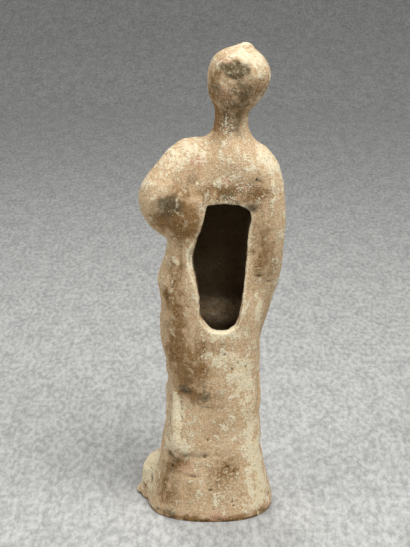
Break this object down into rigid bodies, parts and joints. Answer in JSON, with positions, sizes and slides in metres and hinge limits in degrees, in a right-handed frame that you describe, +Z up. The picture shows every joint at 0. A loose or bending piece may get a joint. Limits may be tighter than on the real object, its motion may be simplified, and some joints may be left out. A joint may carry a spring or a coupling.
{
  "type": "female statuette",
  "caption": "Hollow terracotta figurine of a standing woman wrapped in a mantle, one hand on her hip, open below and with a vent in the back.",
  "frame": {"origin": "on the floor, under the middle of the figure's outline on plan", "axes": "+Z up, she faces -Y, +X towards her left hand"},
  "size_m": [0.0696, 0.0493, 0.2198],
  "materials": {
    "terracotta": "matt fired clay, worn, with lime and soil deposits"
  },
  "bodies": {
    "root": {"statuette": "terracotta"}
  },
  "joints": []
}
